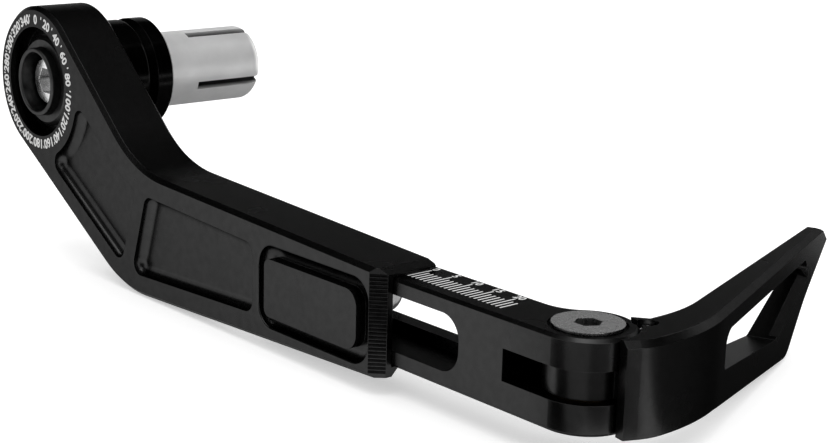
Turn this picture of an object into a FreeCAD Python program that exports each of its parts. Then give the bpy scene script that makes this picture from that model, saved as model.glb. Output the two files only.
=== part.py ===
"""Brake lever guard with a folding tip, in millimetres.

+X runs forward along the slider, +Y inward along the handlebar, +Z up.
The origin lies on the bar axis, where the flange meets the end of the handlebar.
"""
import FreeCAD, Part
import math
import os
import re

import Sketcher

Vector = FreeCAD.Vector

SIZES = {
    # Arm: a cranked plate with a round boss
    "arm_thickness": 12.5,
    "boss_radius": 15.46,
    "arm_end_x": 110.74,
    "leg_drop": 23.96,
    "leg_end_height": 18.73,
    "leg_taper": 2.382,
    "bend_top_x": 37.1,
    "bend_bottom_x": 32.2,
    "bend_top_radius": 27.0,
    "bend_bottom_radius": 25.5,
    "arm_edge_chamfer": 0.8,
    "end_corner_chamfer": 2.2,
    "end_top_chamfer": 1.1,
    # Arm: weight pockets and the raised pad on the front
    "pocket_depth": 2.1,
    "pocket_corner": 2.3,
    "pocket_floor_radius": 1.8,
    "neck_pocket_radius": 15.6,
    "neck_pocket_top_x": 15.5,
    "neck_pocket_heel_x": 3.6,
    "neck_pocket_knee_x": 32.3,
    "neck_pocket_knee_drop": 13.8,
    "neck_pocket_knee_radius": 8.0,
    "neck_pocket_rib_x": 37.6,
    "neck_pocket_rib_drop": 15.4,
    "neck_pocket_toe_x": 32.0,
    "neck_pocket_toe_drop": 31.5,
    "leg_pocket_left_top_x": 40.9,
    "leg_pocket_left_bottom_x": 35.65,
    "leg_pocket_right_x": 76.0,
    "leg_pocket_left_top_rim": 4.36,
    "leg_pocket_right_top_rim": 4.55,
    "leg_pocket_right_bottom_rim": 4.24,
    "leg_pocket_left_bottom_rim": 4.05,
    "field_left_x": 77.7,
    "field_right_x": 108.3,
    "field_top_rim": 2.4,
    "field_bottom_rim": 1.42,
    "field_corner": 4.0,
    "field_floor_radius": 1.7,
    "field_lip_radius": 0.35,
    "pad_left_x": 79.5,
    "pad_right_x": 105.3,
    "pad_top_moat": 2.4,
    "pad_bottom_moat": 1.9,
    "pad_left_corner": 1.5,
    "pad_right_corner": 3.0,
    # Arm: channel for the slider, milled from the back
    "front_wall": 3.3,
    "channel_wall": 1.665,
    "channel_start_x": 50.0,
    "channel_corner": 2.5,
    "clamp_boss_clearance": 0.15,
    "clamp_boss_height": 7.0,
    "clamp_first_x": 82.0,
    "clamp_second_x": 93.0,
    "clamp_thread_radius": 2.52,
    "clamp_thread_depth": 8.0,
    "underside_lip": 0.1,
    "underside_start_x": 58.0,
    # Arm: seat of the bar plug
    "recess_radius": 11.25,
    "recess_depth": 3.5,
    "boss_web": 2.0,
    "bolt_clearance": 0.3,
    # Slider
    "slide_clearance": 0.05,
    "slider_centre_drop": 23.95,
    "slider_thickness": 10.65,
    "slider_left_x": 73.0,
    "slider_left_corner": 3.2,
    "slider_edge_chamfer": 0.55,
    "slot_left_x": 82.0,
    "slot_right_x": 122.0,
    "slot_rail": 2.8,
    "slot_end_flat": 1.7,
    "slot_web": 3.0,
    "narrow_slot_radius": 2.9,
    "eye_x": 147.03,
    "eye_radius": 7.84,
    "eye_back_radius": 7.5,
    "ear_height": 5.025,
    "fork_root_x": 136.9,
    # Pivot of the tip
    "pivot_radius": 3.0,
    "pivot_clearance": 0.05,
    "pivot_head_radius": 5.67,
    "pivot_head_land": 0.45,
    "pivot_head_proud": 0.4,
    "pivot_head_gap": 0.55,
    "pivot_counterbore_depth": 0.6,
    "pivot_screw_inset": 0.4,
    "pivot_socket_flats": 4.0,
    "pivot_socket_depth": 2.4,
    "pivot_nut_flats": 10.0,
    "pivot_nut_height": 3.2,
    "pivot_nut_gap": 0.1,
    "bush_wall": 1.45,
    "seat_clearance": 0.02,
    "thrust_washer_radius": 5.6,
    "thrust_washer_thickness": 0.35,
    # Tip
    "tongue_radius": 6.6,
    "shoulder_gap": 0.36,
    "front_sweep": 23.0,
    "front_line_x": 164.1,
    "shoulder_front_x": 158.75,
    "shoulder_corner_x": 156.9,
    "shoulder_corner_out": 2.4,
    "front_bend_radius": 42.0,
    "front_corner_radius": 11.0,
    "back_sweep": 19.9,
    "back_line_x": 155.53,
    "back_root_x": 149.6,
    "back_bend_radius": 30.0,
    "shoulder_corner_in": 1.8,
    "back_root_out": 1.0,
    "back_corner_in": 1.3,
    "tongue_root_in": 3.2,
    "tongue_root_inset": 1.0,
    "heel_slope": 3.5,
    "heel_fall": 1.0,
    "heel_width": 2.6,
    "tip_edge_chamfer": 1.0,
    "bevel_start_gap": 0.15,
    "flare_start": 20.0,
    "flare_end": 64.5,
    "flare_drop": 4.2,
    "end_waist": 75.0,
    "end_waist_rise": 8.3,
    "end_waist_radius": 40.0,
    "end_top": 89.3,
    "end_top_drop": 3.3,
    "end_crest": 84.7,
    "end_bottom_radius": 5.0,
    "window_left": 24.5,
    "window_top_drop": 3.7,
    "window_right": 82.2,
    "window_bottom": 55.6,
    "window_bottom_drop": 13.85,
    "window_hook_drop": 10.1,
    "window_hook_radius": 0.8,
    "window_left_radius": 3.0,
    "window_right_radius": 1.7,
    "window_bottom_radius": 2.0,
    "window_ledge": 1.4,
    "window_bevel_start": 1.0,
    "window_bevel_end": 6.2,
    "stop_clearance": 0.05,
    # Detent of the tip
    "detent_angle": 60.0,
    "detent_drop": 2.0,
    "well_depth": 1.5,
    "ball_radius": 1.5,
    "ball_clearance": 0.06,
    "detent_travel": 0.8,
    "notch_clearance": 0.2,
    "detent_bore_depth": 7.5,
    "spring_radius": 1.05,
    "spring_wire": 0.18,
    "spring_coils": 6.0,
    # Bar plug
    "spacer_radius": 11.4,
    "spacer_length": 8.3,
    "flange_radius": 11.55,
    "flange_length": 5.2,
    "flange_cone": 1.3,
    "collet_radius": 8.0,
    "collet_length": 25.1,
    "collet_end_radius": 2.0,
    "spigot_radius": 6.0,
    "spigot_length": 4.0,
    "running_clearance": 0.05,
    "cone_mouth_radius": 5.6,
    "cone_root_radius": 4.1,
    "cone_length": 12.6,
    "cone_stand_out": 0.2,
    "collet_slot_width": 1.8,
    "collet_slot_length": 16.5,
    "collet_slot_angle": -21.5,
    "bolt_radius": 3.0,
    "bolt_head_radius": 5.0,
    "bolt_head_height": 6.0,
    "bolt_head_depth": 2.1,
    "bolt_socket_flats": 5.0,
    "bolt_socket_depth": 3.2,
    "bolt_washer_thickness": 1.0,
    "cup_radius": 7.0,
    "cup_wall": 0.95,
    "cup_proud": 0.5,
    "cup_edge": 0.4,
    "bushing_flange_radius": 9.3,
    "bushing_flange_thickness": 2.0,
    "bushing_wall": 0.6,
    "bushing_step": 0.8,
    "spacer_edge": 0.6,
    "spacer_round": 1.3,
    "flange_edge": 0.5,
    "bolt_head_edge": 0.5,
    "collet_relief": 5.0,
    # Clamp screws and washers
    "clamp_screw_radius": 2.5,
    "clamp_screw_length": 10.0,
    "clamp_head_radius": 4.75,
    "clamp_head_height": 2.75,
    "clamp_head_round": 2.0,
    "clamp_socket_flats": 3.0,
    "clamp_socket_depth": 1.5,
    "clamp_washer_radius": 5.0,
    "clamp_washer_thickness": 1.0,
    # How far an outline that cuts reaches past the faces it cuts
    "cut_margin": 3.0,
}

# Lengths that follow from the sizes above and are used in many places
DERIVED = {
    "channel_floor": "(arm_thickness - front_wall)",
    "underside_bevel": "(channel_floor - underside_lip)",
    "slider_height": "(leg_end_height - 2 * channel_wall - 2 * slide_clearance)",
    "slot_half": "(slider_height / 2 - slot_rail)",
    "slot_corner": "(slot_half - slot_end_flat / 2)",
    "clamp_boss_radius": "(slot_half - clamp_boss_clearance)",
    "fork_gap": "(slider_height - 2 * ear_height)",
    "slider_front": "(arm_thickness - front_wall - slide_clearance)",
    "slider_back": "(slider_thickness - slider_front)",
    "slider_top": "(slider_height / 2 - slider_centre_drop)",
    "slider_bottom": "(-slider_height / 2 - slider_centre_drop)",
    "pivot_y": "(eye_radius - slider_front)",
    "shoulder_radius": "(eye_radius + shoulder_gap)",
    "tongue_half": "(fork_gap / 2 - thrust_washer_thickness - seat_clearance)",
    "ball_reach": "(eye_radius + ball_clearance + ball_radius)",
    "ball_z": "(slider_top - detent_drop)",
    "head_top": "(slider_top + pivot_head_proud)",
    "leg_end_top": "(leg_end_height / 2 - leg_drop)",
    "leg_end_bottom": "(-leg_end_height / 2 - leg_drop)",
    "field_top": "(leg_end_top - field_top_rim)",
    "field_bottom": "(leg_end_bottom + field_bottom_rim)",
    "bar_face": "(spacer_length + flange_length)",
    "collet_end": "(bar_face + collet_length)",
    "bolt_head_top": "(arm_thickness - bolt_head_depth)",
    "bolt_seat": "(bolt_head_top - bolt_head_height)",
    "bushing_bore": "(cup_radius + running_clearance)",
    "bushing_radius": "(cup_radius + running_clearance + bushing_wall)",
    "bush_radius": "(pivot_radius + pivot_clearance + bush_wall)",
}

doc = FreeCAD.newDocument("brake_lever_guard")
sheet = doc.addObject("Spreadsheet::Sheet", "sizes")
for row, (alias, number) in enumerate(SIZES.items(), 1):
    cell = "B%d" % row
    sheet.set("A%d" % row, alias)
    sheet.set(cell, str(number))
    sheet.setAlias(cell, alias)
doc.recompute()


def expand(text):
    """Turn a line of size names into an expression on the sheet."""
    while any(word in DERIVED for word in re.findall(r"\w+", text)):
        text = re.sub(r"\w+", lambda word: DERIVED.get(word.group(), word.group()), text)
    return re.sub(r"\b[a-z]+(_[a-z]+)+\b", lambda word: "sizes." + word.group(), text)


def value(text):
    return float(sheet.evalExpression(expand(text)))


def bind(thing, prop, text):
    thing.setExpression(prop, expand(text))


def new_body(name):
    """A body drawn from the arm's back face, and moved so that the bar's end lies at Y zero."""
    body = doc.addObject("PartDesign::Body", name)
    body.Label = name
    bind(body, ".Placement.Base.y", "-bar_face")
    return body


def new_sketch(body, name, role, base=("0", "0", "0"), turn=None):
    """A sketch on one of the body's planes, moved by base and turned in that plane's own axes."""
    sketch = body.newObject("Sketcher::SketchObject", name)
    plane = [item for item in body.Origin.OriginFeatures if item.Role == role][0]
    sketch.AttachmentSupport = [(plane, "")]
    sketch.MapMode = "FlatFace"
    axis, angle = turn or (Vector(0, 0, 1), "0")
    sketch.AttachmentOffset = FreeCAD.Placement(Vector(), FreeCAD.Rotation(axis, 1))
    for letter, text in zip("xyz", base):
        bind(sketch, ".AttachmentOffset.Base." + letter, text)
    bind(sketch, ".AttachmentOffset.Rotation.Angle", angle)
    return sketch


def tie(sketch, geometry, end, u, v):
    """Hold a point of the sketch at the distances u and v from its origin."""
    for kind, text in (("DistanceX", u), ("DistanceY", v)):
        number = sketch.addConstraint(Sketcher.Constraint(kind, -1, 1, geometry, end, value(text)))
        bind(sketch, "Constraints[%d]" % number, text)


def size(sketch, kind, geometry, text):
    number = sketch.addConstraint(Sketcher.Constraint(kind, geometry, value(text)))
    bind(sketch, "Constraints[%d]" % number, text)


def corners(sketch, points):
    """A closed outline with one straight side between each two points."""
    places = [Vector(value(u), value(v), 0) for u, v in points]
    lines = [sketch.addGeometry(Part.LineSegment(start, end))
             for start, end in zip(places, places[1:] + places[:1])]
    for line, after in zip(lines, lines[1:] + lines[:1]):
        sketch.addConstraint(Sketcher.Constraint("Coincident", line, 2, after, 1))
    for line, (u, v) in zip(lines, points):
        tie(sketch, line, 1, u, v)


def disc(sketch, radius, u="0", v="0"):
    circle = Part.Circle(Vector(value(u), value(v), 0), Vector(0, 0, 1), value(radius))
    number = sketch.addGeometry(circle)
    size(sketch, "Radius", number, radius)
    tie(sketch, number, 3, u, v)


def obround(sketch, left, right, v, radius):
    """A slot outline with round ends centred at left and right."""
    r = value(radius)
    first = Vector(value(left), value(v), 0)
    last = Vector(value(right), value(v), 0)
    up = Vector(0, r, 0)
    normal = Vector(0, 0, 1)
    ends = [sketch.addGeometry(Part.ArcOfCircle(Part.Circle(first, normal, r), math.pi / 2, 1.5 * math.pi)),
            sketch.addGeometry(Part.ArcOfCircle(Part.Circle(last, normal, r), -math.pi / 2, math.pi / 2))]
    low = sketch.addGeometry(Part.LineSegment(first - up, last - up))
    high = sketch.addGeometry(Part.LineSegment(last + up, first + up))
    for line, end, arc, arc_end in ((low, 1, ends[0], 2), (low, 2, ends[1], 1),
                                    (high, 1, ends[1], 2), (high, 2, ends[0], 1)):
        sketch.addConstraint(Sketcher.Constraint("Tangent", line, end, arc, arc_end))
    size(sketch, "Radius", ends[0], radius)
    tie(sketch, ends[0], 3, left, v)
    tie(sketch, ends[1], 3, right, v)


def hexagon(sketch, flats):
    reach = "(%s / 2 / cos(30))" % flats
    corners(sketch, [("%s * cos(%d)" % (reach, angle), "%s * sin(%d)" % (reach, angle))
                     for angle in range(0, 360, 60)])


def grow(body, sketch, length, name, reverse=False):
    pad = body.newObject("PartDesign::Pad", name)
    pad.Profile = sketch
    pad.Reversed = reverse
    bind(pad, "Length", length)
    doc.recompute()
    return pad


def sink(body, sketch, name, depth=None, reverse=False):
    """Cut the sketch into the body and make sure that the cut takes material away."""
    before = body.Shape.Volume
    pocket = body.newObject("PartDesign::Pocket", name)
    pocket.Profile = sketch
    pocket.Reversed = reverse
    if depth:
        bind(pocket, "Length", depth)
    else:
        pocket.Type = "ThroughAll"
    doc.recompute()
    if not body.Shape.Volume < before - 1e-6:
        raise RuntimeError(name + " cuts nothing")
    return pocket


def turned(body, sketch, axis, name, groove=False):
    kind = "PartDesign::Groove" if groove else "PartDesign::Revolution"
    before = 0 if not groove else body.Shape.Volume
    feature = body.newObject(kind, name)
    feature.Profile = sketch
    feature.ReferenceAxis = (sketch, [axis])
    feature.Angle = 360
    doc.recompute()
    if groove and not body.Shape.Volume < before - 1e-6:
        raise RuntimeError(name + " cuts nothing")
    return feature


def ends_of(edge):
    return [vertex.Point for vertex in edge.Vertexes]


def edges_along(shape, letter, places, low=-1e9, high=1e9):
    """Names of the straight edges along an axis that pass through one of the places."""
    others = [other for other in "xyz" if other != letter]
    found = []
    for number, edge in enumerate(shape.Edges, 1):
        points = ends_of(edge)
        if len(points) < 2 or edge.Curve.TypeId != "Part::GeomLine":
            continue
        if not all(low - 0.01 < getattr(point, letter) < high + 0.01 for point in points):
            continue
        for place in places:
            near = [abs(getattr(point, other) - wanted) < 0.02
                    for point in points for other, wanted in zip(others, place)]
            if all(near):
                found.append("Edge%d" % number)
    return found


def edges_in_plane(shape, letter, level, keep=lambda middle: True):
    """Names of the edges that lie in a plane and whose middle passes the test."""
    found = []
    for number, edge in enumerate(shape.Edges, 1):
        middle = edge.valueAt((edge.FirstParameter + edge.LastParameter) / 2)
        points = ends_of(edge) + [middle]
        if all(abs(getattr(point, letter) - level) < 0.005 for point in points) and keep(middle):
            found.append("Edge%d" % number)
    return found


def soften(body, base, names, amount, name, kind="Fillet"):
    """Fillet or chamfer the named edges of a feature."""
    if not names:
        raise RuntimeError(name + " finds no edge")
    feature = body.newObject("PartDesign::" + kind, name)
    feature.Base = (base, names)
    bind(feature, "Radius" if kind == "Fillet" else "Size", amount)
    doc.recompute()
    if "Invalid" in feature.State or "Error" in feature.State:
        raise RuntimeError(name + " fails")
    return feature


def vertical(points):
    """Places of corner edges, from the outline's expressions."""
    return [(value(u), value(v)) for u, v in points]


# Arm


def make_arm():
    body = new_body("arm")
    outline = new_sketch(body, "arm_outline", "XZ_Plane")
    knee = ("bend_top_x", leg_top("bend_top_x"))
    elbow = ("bend_bottom_x", leg_bottom("bend_bottom_x"))
    head = ("arm_end_x", "leg_end_top")
    foot = ("arm_end_x", "leg_end_bottom")
    arm_outline(outline, knee, head, foot, elbow)
    feature = grow(body, outline, "arm_thickness", "arm_plate")
    bends = ((knee, "bend_top_radius", "knee_bend"), (elbow, "bend_bottom_radius", "elbow_bend"))
    for place, radius, name in bends:
        names = edges_along(feature.Shape, "y", vertical([place]))
        feature = soften(body, feature, names, radius, name)
    names = edges_along(feature.Shape, "z", [(value("arm_end_x"), -value("arm_thickness"))])
    feature = soften(body, feature, names, "end_corner_chamfer", "end_corner", "Chamfer")
    names = edges_along(feature.Shape, "y", vertical([head]))
    feature = soften(body, feature, names, "end_top_chamfer", "end_top_corner", "Chamfer")
    limit = value("arm_end_x - end_corner_chamfer") - 0.01
    names = edges_in_plane(feature.Shape, "y", -value("arm_thickness"), lambda point: point.x < limit)
    names += edges_in_plane(feature.Shape, "y", 0, lambda point: point.x < limit)
    feature = soften(body, feature, names, "arm_edge_chamfer", "arm_edges", "Chamfer")
    arm_boss(body)
    neck_pocket(body)
    leg_pocket(body)
    pad_field(body)
    slider_channel(body)
    return body


def leg_top(x, rim="0"):
    """Height of a place at x, a rim's width below the leg's top edge."""
    return "leg_end_top + tan(leg_taper) * (arm_end_x - %s) - %s" % (x, rim)


def leg_bottom(x, rim="0"):
    """Height of a place at x, a rim's width above the leg's bottom edge."""
    return "leg_end_bottom - tan(leg_taper) * (arm_end_x - %s) + %s" % (x, rim)


def arm_outline(sketch, knee, head, foot, elbow):
    """The boss arc, with the two neck lines tangent to it, and the leg."""
    radius = value("boss_radius")
    points = [Vector(value(u), value(v), 0) for u, v in (knee, head, foot, elbow)]
    start = tangent_angle(points[0], radius, 1)
    end = tangent_angle(points[3], radius, -1)
    if end < start:
        end += 2 * math.pi
    arc = Part.ArcOfCircle(Part.Circle(Vector(), Vector(0, 0, 1), radius), start, end)
    boss = sketch.addGeometry(arc)
    places = [arc.StartPoint] + points + [arc.EndPoint]
    lines = [sketch.addGeometry(Part.LineSegment(first, last)) for first, last in zip(places, places[1:])]
    for line, after in zip(lines, lines[1:]):
        sketch.addConstraint(Sketcher.Constraint("Coincident", line, 2, after, 1))
    sketch.addConstraint(Sketcher.Constraint("Coincident", boss, 3, -1, 1))
    size(sketch, "Radius", boss, "boss_radius")
    for line, (u, v) in zip(lines[1:], (knee, head, foot, elbow)):
        tie(sketch, line, 1, u, v)
    sketch.addConstraint(Sketcher.Constraint("Tangent", lines[0], 1, boss, 1))
    sketch.addConstraint(Sketcher.Constraint("Tangent", lines[-1], 2, boss, 2))


def tangent_angle(point, radius, side):
    """Where a line from a point touches a circle round the origin, as an angle."""
    return math.atan2(point.y, point.x) + side * math.acos(radius / math.hypot(point.x, point.y))


def arm_boss(body):
    """Stepped seat for the bar plug, bored from the front."""
    face = ("0", "0", "arm_thickness")
    steps = (("recess_radius", "recess_depth", "boss_recess"),
             ("bushing_radius + seat_clearance", "arm_thickness - boss_web", "boss_bore"),
             ("bolt_radius + bolt_clearance", None, "bolt_hole"))
    for radius, depth, name in steps:
        sketch = new_sketch(body, name + "_sketch", "XZ_Plane", face)
        disc(sketch, radius)
        sink(body, sketch, name, depth)


def pocket_finish(body, feature, places, name, corner="pocket_corner", floor="pocket_floor_radius"):
    """Round a pocket's corners, then its floor."""
    depth = value("arm_thickness - pocket_depth")
    names = edges_along(feature.Shape, "y", places, -value("arm_thickness"), -depth)
    feature = soften(body, feature, names, corner, name + "_corners")
    if floor:
        names = edges_in_plane(feature.Shape, "y", -depth, inside(places))
        feature = soften(body, feature, names, floor, name + "_floor")
    return feature


def inside(places):
    """A test for points within the box round some corners."""
    low = [min(place[axis] for place in places) - 0.1 for axis in (0, 1)]
    high = [max(place[axis] for place in places) + 0.1 for axis in (0, 1)]
    return lambda point: low[0] < point.x < high[0] and low[1] < point.z < high[1]


def neck_pocket(body):
    """The pocket beside the boss, with one side concentric to it."""
    sketch = new_sketch(body, "neck_pocket_sketch", "XZ_Plane", ("0", "0", "arm_thickness"))
    radius = value("neck_pocket_radius")
    start = -math.acos(value("neck_pocket_heel_x") / radius)
    end = -math.acos(value("neck_pocket_top_x") / radius)
    arc = Part.ArcOfCircle(Part.Circle(Vector(), Vector(0, 0, 1), radius), start, end)
    side = sketch.addGeometry(arc)
    held = [("neck_pocket_knee_x", "-neck_pocket_knee_drop"),
            ("neck_pocket_rib_x", "-neck_pocket_rib_drop"),
            ("neck_pocket_toe_x", "-neck_pocket_toe_drop")]
    places = [arc.EndPoint] + [Vector(value(u), value(v), 0) for u, v in held] + [arc.StartPoint]
    lines = [sketch.addGeometry(Part.LineSegment(first, last)) for first, last in zip(places, places[1:])]
    for line, after in zip(lines, lines[1:]):
        sketch.addConstraint(Sketcher.Constraint("Coincident", line, 2, after, 1))
    sketch.addConstraint(Sketcher.Constraint("Coincident", side, 2, lines[0], 1))
    sketch.addConstraint(Sketcher.Constraint("Coincident", side, 1, lines[-1], 2))
    sketch.addConstraint(Sketcher.Constraint("Coincident", side, 3, -1, 1))
    size(sketch, "Radius", side, "neck_pocket_radius")
    for end, text in ((2, "neck_pocket_top_x"), (1, "neck_pocket_heel_x")):
        rule = Sketcher.Constraint("DistanceX", -1, 1, side, end, value(text))
        bind(sketch, "Constraints[%d]" % sketch.addConstraint(rule), text)
    for line, (u, v) in zip(lines[1:], held):
        tie(sketch, line, 1, u, v)
    feature = sink(body, sketch, "neck_pocket", "pocket_depth")
    knee = vertical(held[:1])
    depth = value("arm_thickness - pocket_depth")
    names = edges_along(feature.Shape, "y", knee, -value("arm_thickness"), -depth)
    feature = soften(body, feature, names, "neck_pocket_knee_radius", "neck_pocket_knee")
    ends = [(place.x, place.y) for place in (arc.StartPoint, arc.EndPoint)]
    pocket_finish(body, feature, vertical(held[1:]) + ends, "neck_pocket")


def leg_pocket(body):
    right = "leg_pocket_right_x"
    places = [("leg_pocket_left_top_x", leg_top("leg_pocket_left_top_x", "leg_pocket_left_top_rim")),
              (right, leg_top(right, "leg_pocket_right_top_rim")),
              (right, leg_bottom(right, "leg_pocket_right_bottom_rim")),
              ("leg_pocket_left_bottom_x",
               leg_bottom("leg_pocket_left_bottom_x", "leg_pocket_left_bottom_rim"))]
    sketch = new_sketch(body, "leg_pocket_sketch", "XZ_Plane", ("0", "0", "arm_thickness"))
    corners(sketch, places)
    feature = sink(body, sketch, "leg_pocket", "pocket_depth")
    pocket_finish(body, feature, vertical(places), "leg_pocket")


def box_corners(left, right, top, bottom):
    return [(left, top), (right, top), (right, bottom), (left, bottom)]


def pad_field(body):
    """A moat round a raised pad that stays flush with the front."""
    field = box_corners("field_left_x", "field_right_x", "field_top", "field_bottom")
    pad = box_corners("pad_left_x", "pad_right_x", "field_top - pad_top_moat",
                      "field_bottom + pad_bottom_moat")
    sketch = new_sketch(body, "field_sketch", "XZ_Plane", ("0", "0", "arm_thickness"))
    corners(sketch, field)
    corners(sketch, pad)
    feature = sink(body, sketch, "field", "pocket_depth")
    feature = pocket_finish(body, feature, vertical(field), "field", "field_corner", None)
    feature = pocket_finish(body, feature, vertical([pad[0], pad[3]]), "pad_left", "pad_left_corner", None)
    feature = pocket_finish(body, feature, vertical(pad[1:3]), "pad_right", "pad_right_corner", None)
    outer = inside(vertical(field))
    inner = inside(vertical(pad))
    for level, radius, name in (("pocket_depth - arm_thickness", "field_floor_radius", "field_floor"),
                                ("-arm_thickness", "field_lip_radius", "field_lip")):
        names = edges_in_plane(feature.Shape, "y", value(level),
                               lambda point: outer(point) and not inner(point))
        feature = soften(body, feature, names, radius, name)


def slider_channel(body):
    """The channel for the slider, its threaded bosses and the relieved underside."""
    top = "slider_top + slide_clearance"
    bottom = "slider_bottom - slide_clearance"
    box = box_corners("channel_start_x", "arm_end_x + cut_margin", top, bottom)
    bosses = ("clamp_first_x", "clamp_second_x")
    sketch = new_sketch(body, "channel_sketch", "XZ_Plane")
    corners(sketch, box)
    for place in bosses:
        disc(sketch, "clamp_boss_radius", place, "-slider_centre_drop")
    feature = sink(body, sketch, "channel", "channel_floor", True)
    names = edges_along(feature.Shape, "y", vertical([box[0], box[3]]))
    soften(body, feature, names, "channel_corner", "channel_corners")
    sketch = new_sketch(body, "boss_top_sketch", "XZ_Plane")
    for place in bosses:
        disc(sketch, "clamp_boss_radius + seat_clearance", place, "-slider_centre_drop")
    sink(body, sketch, "boss_tops", "channel_floor - clamp_boss_height", True)
    boss_top = ("0", "0", "channel_floor - clamp_boss_height")
    sketch = new_sketch(body, "clamp_thread_sketch", "XZ_Plane", boss_top)
    for place in bosses:
        disc(sketch, "clamp_thread_radius", place, "-slider_centre_drop")
    sink(body, sketch, "clamp_threads", "clamp_thread_depth", True)
    relieve_underside(body)


def relieve_underside(body):
    """A wide bevel along the lower back edge of the leg, parallel to its taper."""
    base = ("0", leg_bottom("underside_start_x"), "underside_start_x")
    sketch = new_sketch(body, "underside_sketch", "YZ_Plane", base, (Vector(1, 0, 0), "-leg_taper"))
    corners(sketch, [("-underside_bevel - cut_margin", "-cut_margin"), ("cut_margin", "-cut_margin"),
                     ("cut_margin", "underside_bevel + cut_margin")])
    sink(body, sketch, "underside_bevel", None, True)


# Slider


def make_slider():
    body = new_body("slider")
    plan = new_sketch(body, "slider_plan", "XY_Plane", ("0", "0", "slider_bottom"))
    corners(plan, box_corners("slider_left_x", "eye_x", "slider_back", "-slider_front"))
    feature = grow(body, plan, "slider_height", "slider_bar")
    names = edges_along(feature.Shape, "y", [(value("slider_left_x"), value("slider_top")),
                                            (value("slider_left_x"), value("slider_bottom"))])
    soften(body, feature, names, "slider_left_corner", "slider_left_corners")
    eye = new_sketch(body, "eye_sketch", "XY_Plane", ("0", "0", "slider_bottom"))
    disc(eye, "eye_radius", "eye_x", "pivot_y")
    feature = grow(body, eye, "slider_height", "eye")
    step = value("slider_back - pivot_y")
    joint = value("eye_x") - math.sqrt(value("eye_radius") ** 2 - step ** 2)
    names = edges_along(feature.Shape, "z", [(joint, value("slider_back"))])
    feature = soften(body, feature, names, "eye_back_radius", "eye_back")
    limit = value("slider_left_x + slider_left_corner") + 0.01
    names = []
    for level in ("slider_top", "slider_bottom"):
        names += edges_in_plane(feature.Shape, "z", value(level), lambda point: point.x > limit)
    soften(body, feature, names, "slider_edge_chamfer", "slider_edges", "Chamfer")
    slider_slot(body)
    slider_fork(body)
    return body


def slider_slot(body):
    """A wide slot from the front down to a web, and a narrow one through the web."""
    box = box_corners("slot_left_x - slot_half", "slot_right_x + slot_half",
                      "slot_half - slider_centre_drop", "-slot_half - slider_centre_drop")
    sketch = new_sketch(body, "wide_slot_sketch", "XZ_Plane", ("0", "0", "slider_front"))
    corners(sketch, box)
    feature = sink(body, sketch, "wide_slot", "slider_thickness - slot_web")
    names = edges_along(feature.Shape, "y", vertical(box))
    soften(body, feature, names, "slot_corner", "wide_slot_corners")
    sketch = new_sketch(body, "narrow_slot_sketch", "XZ_Plane", ("0", "0", "slider_front"))
    obround(sketch, "slot_left_x", "slot_right_x", "-slider_centre_drop", "narrow_slot_radius")
    sink(body, sketch, "narrow_slot")


def slider_fork(body):
    """The fork for the tongue, the seats of screw and nut, and the detent notch."""
    sketch = new_sketch(body, "fork_sketch", "XZ_Plane", ("0", "0", "slider_front + cut_margin"))
    half = "fork_gap / 2"
    corners(sketch, box_corners("fork_root_x", "eye_x + eye_radius + cut_margin",
                                "%s - slider_centre_drop" % half, "-%s - slider_centre_drop" % half))
    sink(body, sketch, "fork")
    bore = "(pivot_radius + pivot_clearance)"
    seat = "(pivot_head_radius + seat_clearance)"
    wide = "(pivot_head_radius + pivot_head_gap)"
    cone_top = "(head_top - pivot_head_land)"
    floor = "(slider_top - pivot_counterbore_depth)"
    sketch = new_sketch(body, "screw_seat_sketch", "XZ_Plane", ("eye_x", "0", "-pivot_y"))
    corners(sketch, [("0", "slider_top + cut_margin"), (wide, "slider_top + cut_margin"), (wide, floor),
                     ("%s - (%s - %s)" % (seat, cone_top, floor), floor),
                     (bore, "%s - (%s - %s)" % (cone_top, seat, bore)),
                     (bore, "slider_bottom - cut_margin"), ("0", "slider_bottom - cut_margin")])
    turned(body, sketch, "V_Axis", "screw_seat", True)
    sketch = new_sketch(body, "nut_pocket_sketch", "XY_Plane", ("eye_x", "pivot_y", "slider_bottom"))
    hexagon(sketch, "(pivot_nut_flats + 2 * pivot_nut_gap)")
    sink(body, sketch, "nut_pocket", "pivot_nut_height + pivot_nut_gap", True)
    sketch = new_sketch(body, "notch_sketch", "XY_Plane", ("0", "0", "slider_top"))
    reach = "(ball_reach - detent_travel)"
    disc(sketch, "ball_radius + notch_clearance", "eye_x + %s * cos(detent_angle)" % reach,
         "pivot_y + %s * sin(detent_angle)" % reach)
    sink(body, sketch, "notch", "detent_drop + ball_radius + notch_clearance")


# Tip


def make_tip():
    body = new_body("tip")
    tip_blade(body)
    tip_profile(body)
    tip_window(body)
    tip_edges(body)
    tip_tongue(body)
    tip_detent(body)
    return body


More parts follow.
